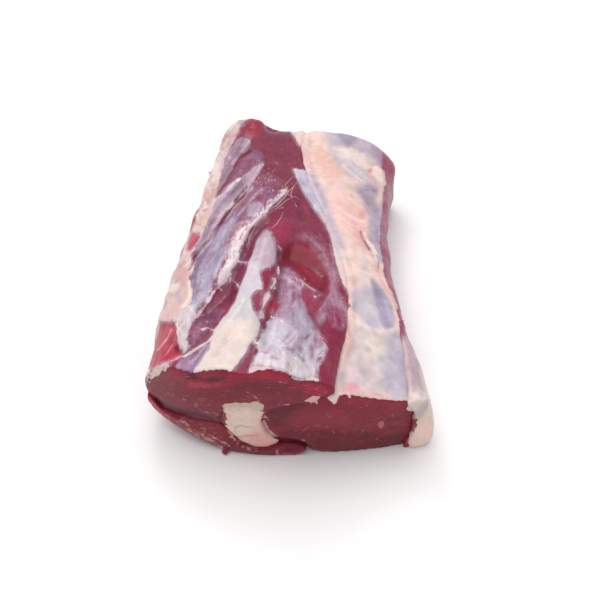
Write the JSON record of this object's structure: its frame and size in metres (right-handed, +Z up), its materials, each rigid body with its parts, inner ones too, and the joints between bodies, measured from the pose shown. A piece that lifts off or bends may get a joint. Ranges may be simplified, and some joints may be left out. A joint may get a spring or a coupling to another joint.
{
  "type": "beef entrecote",
  "caption": "Raw boneless beef entrecote roast: eye muscle, rib cap, folded flap and fat between them, cut straight across at one end, lying with its rib side up.",
  "frame": {"origin": "middle of the part in plan, at the surface that it lies on", "axes": "+Z up; +Y along the roast from the near cut to the far end; +X to the right as seen from the near cut"},
  "size_m": [0.2014, 0.3044, 0.0925],
  "materials": {
    "lean": "moist dark red beef with silverskin",
    "dark_lean": "darker, drier red beef",
    "fat": "pale pinkish cream fat"
  },
  "bodies": {
    "root": {"eye_muscle": "lean", "cap_muscle": "lean", "flap_muscle": "dark_lean", "fat_seam": "fat", "side_fat": "fat"}
  },
  "joints": []
}
